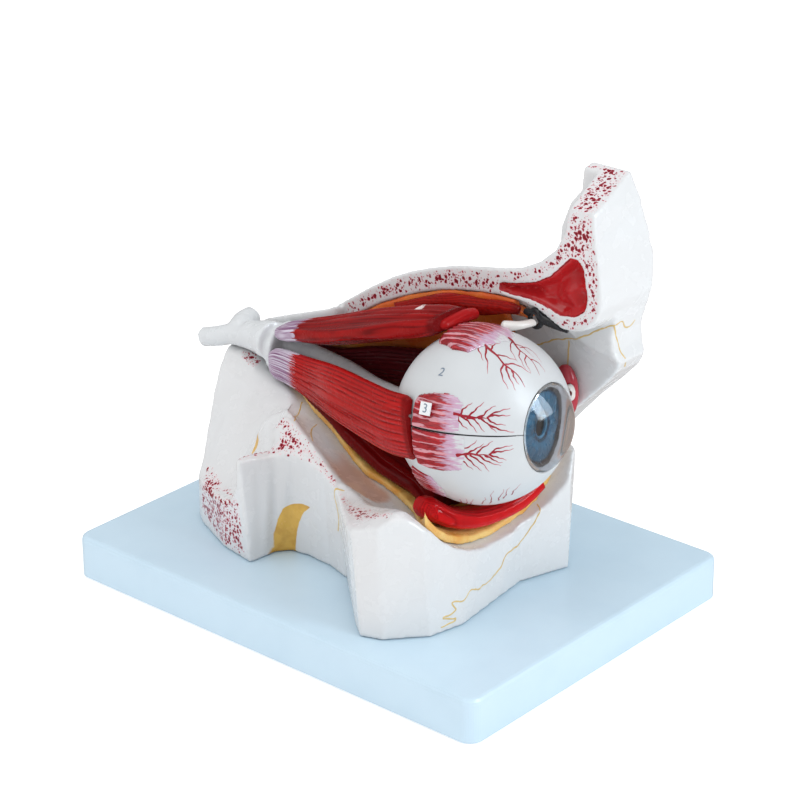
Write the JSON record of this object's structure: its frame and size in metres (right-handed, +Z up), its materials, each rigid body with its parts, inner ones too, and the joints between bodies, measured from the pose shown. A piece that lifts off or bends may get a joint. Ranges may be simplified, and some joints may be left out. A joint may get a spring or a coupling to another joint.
{
  "type": "eye anatomy model",
  "caption": "Enlarged eyeball with its muscles seated in a cut-away bony orbit on a flat base; the eye, its halves and the outer muscles lift out.",
  "frame": {"origin": "centre of the underside of the base", "axes": "+X along the base towards the front of the eye, +Y towards the nose side, +Z up"},
  "size_m": [0.28, 0.208, 0.2412],
  "materials": {
    "base_plastic": "satin pale blue moulded plastic",
    "rubber_foot": "matt",
    "steel": "zinc plated",
    "bone_cast": "glossy off-white casting",
    "mucosa": "glossy crimson paint",
    "lining": "glossy ochre paint",
    "nerve": "glossy off-white casting",
    "muscle": "glossy dark red paint over ribbed casting",
    "deep_muscle": "glossy maroon paint",
    "black_plastic": "satin",
    "sclera": "glossy white with painted vessels",
    "choroid": "satin brown-red paint",
    "iris": "glossy blue paint",
    "clear_plastic": "clear polished plastic",
    "label": "printed white label"
  },
  "bodies": {
    "stand": {"base_shell": "base_plastic", "foot_1": "rubber_foot", "foot_2": "rubber_foot", "foot_3": "rubber_foot", "foot_4": "rubber_foot", "base_screw_1": "steel", "base_screw_2": "steel", "base_screw_3": "steel", "base_screw_4": "steel", "frontal_bone": "bone_cast", "frontal_sinus_lining": "mucosa", "nasal_wall": "bone_cast", "sphenoid_bone": "bone_cast", "zygomatic_bone": "bone_cast", "maxilla": "bone_cast", "periorbita_lining": "lining", "optic_nerve": "nerve", "optic_chiasm": "nerve", "common_tendinous_ring": "nerve", "medial_rectus": "deep_muscle", "inferior_rectus": "muscle", "inferior_oblique": "muscle", "superior_oblique": "deep_muscle", "trochlea": "black_plastic", "lacrimal_sac": "mucosa", "lacrimal_ring": "nerve"},
    "eye_lower": {"sclera_lower": "sclera", "choroid_lower": "choroid", "iris": "iris", "lateral_stump_lower": "muscle", "medial_stump": "muscle", "inferior_stump": "muscle", "muscle_pin_lower": "steel"},
    "eye_upper": {"sclera_upper": "sclera", "choroid_upper": "choroid", "superior_stump": "muscle", "lateral_stump_upper": "muscle", "number_plate_3": "label", "muscle_pin_upper": "steel", "superior_oblique_tendon": "nerve"},
    "eye_inside": {"vitreous_body": "clear_plastic", "lens": "clear_plastic", "ciliary_body": "choroid"},
    "cornea_cap": {"cornea": "clear_plastic"},
    "lateral_muscle": {"lateral_rectus": "muscle"},
    "superior_muscle": {"superior_rectus": "muscle"}
  },
  "joints": [
    {"name": "eyeball_pull", "type": "slide", "parent": "stand", "child": "eye_lower", "axis": [0.9299, -0.27, 0.25], "range_m": [0, 0.12]},
    {"name": "upper_half_lift", "type": "slide", "parent": "eye_lower", "child": "eye_upper", "axis": [-0.1075, 0.1748, 0.9787], "range_m": [0, 0.06]},
    {"name": "vitreous_lift", "type": "slide", "parent": "eye_lower", "child": "eye_inside", "axis": [-0.1075, 0.1748, 0.9787], "range_m": [0, 0.03]},
    {"name": "cornea_pull", "type": "slide", "parent": "eye_lower", "child": "cornea_cap", "axis": [0.9898, 0.111, 0.0889], "range_m": [0, 0.025]},
    {"name": "lateral_rectus_off", "type": "slide", "parent": "stand", "child": "lateral_muscle", "axis": [0, -0.9292, 0.3697], "range_m": [0, 0.07]},
    {"name": "superior_rectus_off", "type": "slide", "parent": "stand", "child": "superior_muscle", "axis": [0, -0.8, 0.6], "range_m": [0, 0.07]}
  ],
  "couplings": [
    {"joint": "upper_half_lift", "follows": "eyeball_pull", "ratio": 0.5},
    {"joint": "vitreous_lift", "follows": "eyeball_pull", "ratio": 0.25}
  ]
}
